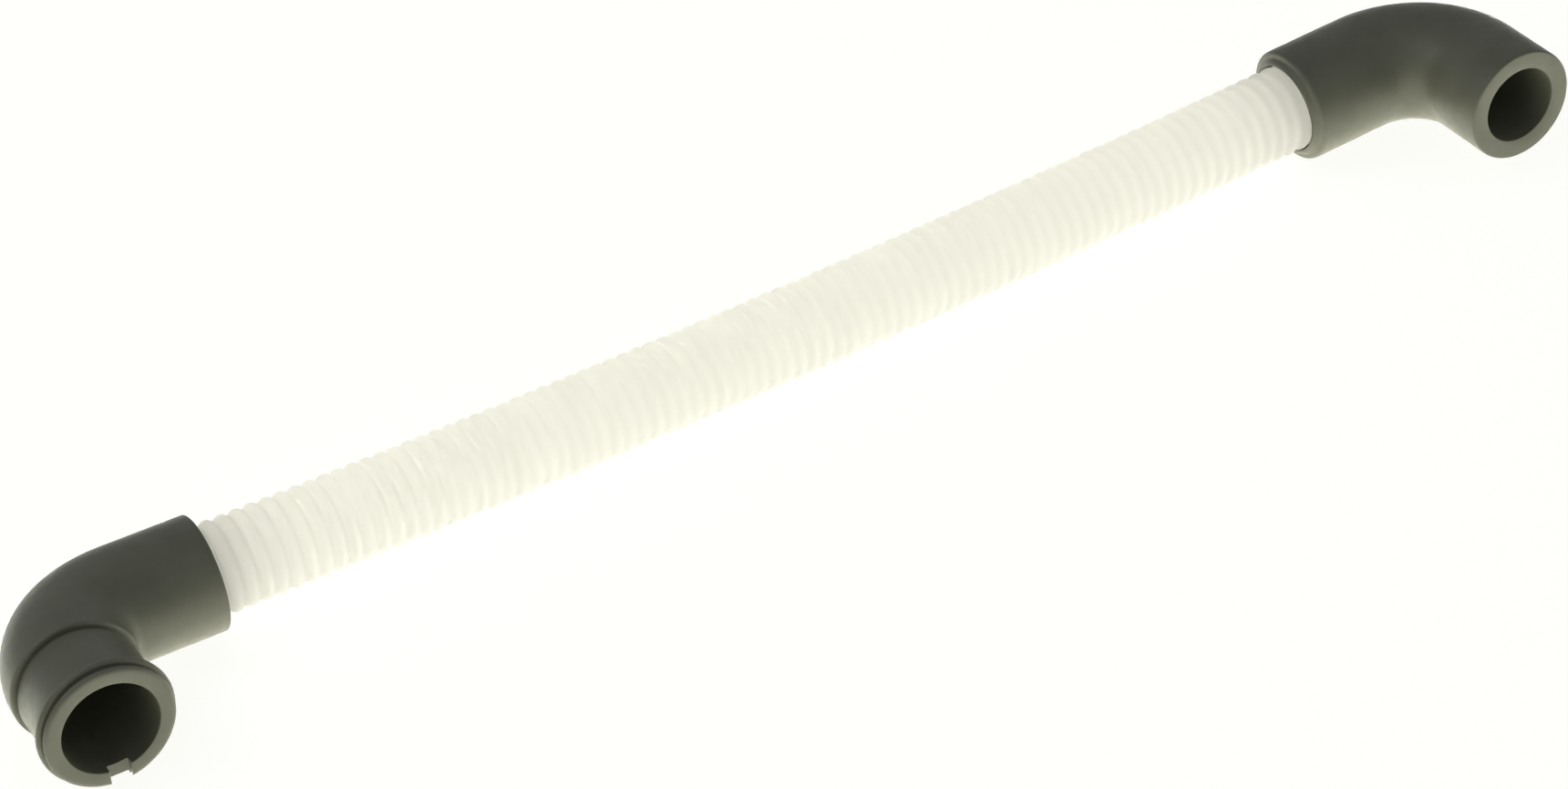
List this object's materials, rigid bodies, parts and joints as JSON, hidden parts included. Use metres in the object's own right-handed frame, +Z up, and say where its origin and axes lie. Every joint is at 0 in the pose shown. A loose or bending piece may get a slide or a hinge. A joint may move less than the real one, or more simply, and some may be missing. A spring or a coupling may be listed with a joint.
{
  "type": "washing machine pump hose",
  "caption": "Ribbed milky plastic hose between two dark grey rubber right-angle elbows; one mouth has a clamp neck, a flange and a key notch, the other is a plain thick tube.",
  "frame": {"origin": "on the surface that the hose lies on, under the middle of the whole part's box", "axes": "+X runs along the hose from the keyed elbow to the plain elbow; -Y is the way both mouths point; +Z is up"},
  "size_m": [0.4664, 0.0602, 0.0365],
  "materials": {
    "milky_plastic": "translucent milky white polyethylene, smooth, satin",
    "grey_rubber": "soft matte dark olive-grey moulded rubber"
  },
  "bodies": {
    "root": {"corrugated_hose": "milky_plastic", "keyed_elbow": "grey_rubber", "plain_elbow": "grey_rubber"}
  },
  "joints": []
}
